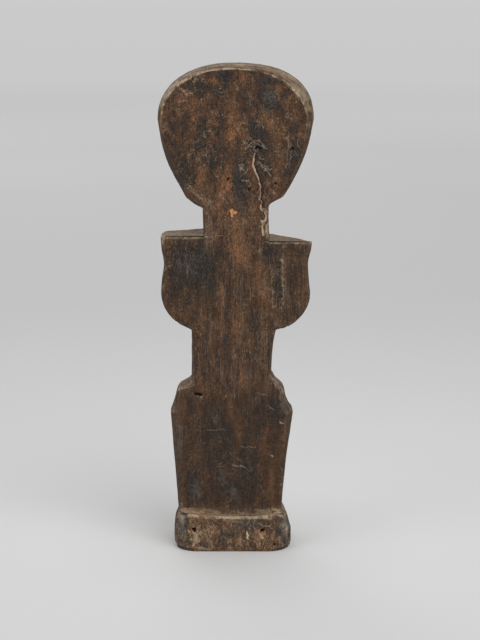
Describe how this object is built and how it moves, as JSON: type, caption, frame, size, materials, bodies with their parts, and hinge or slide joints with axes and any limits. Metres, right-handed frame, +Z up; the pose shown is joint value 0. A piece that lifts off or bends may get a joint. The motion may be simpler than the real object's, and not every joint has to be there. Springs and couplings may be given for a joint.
{
  "type": "carved wooden figure",
  "caption": "Small standing human figure carved from a split billet, with a broad rounded head, flat back and square shoulders, on a low rounded base.",
  "frame": {"origin": "centre of the bounding box at the underside of the base, where the figure rests", "axes": "+Z up through the base to the crown, -Y the carved front, +Y the flat split back, +X the figure's own left side"},
  "size_m": [0.0608, 0.034, 0.1961],
  "materials": {
    "dark_wood": "satin"
  },
  "bodies": {
    "root": {"carved_figure": "dark_wood"}
  },
  "joints": []
}
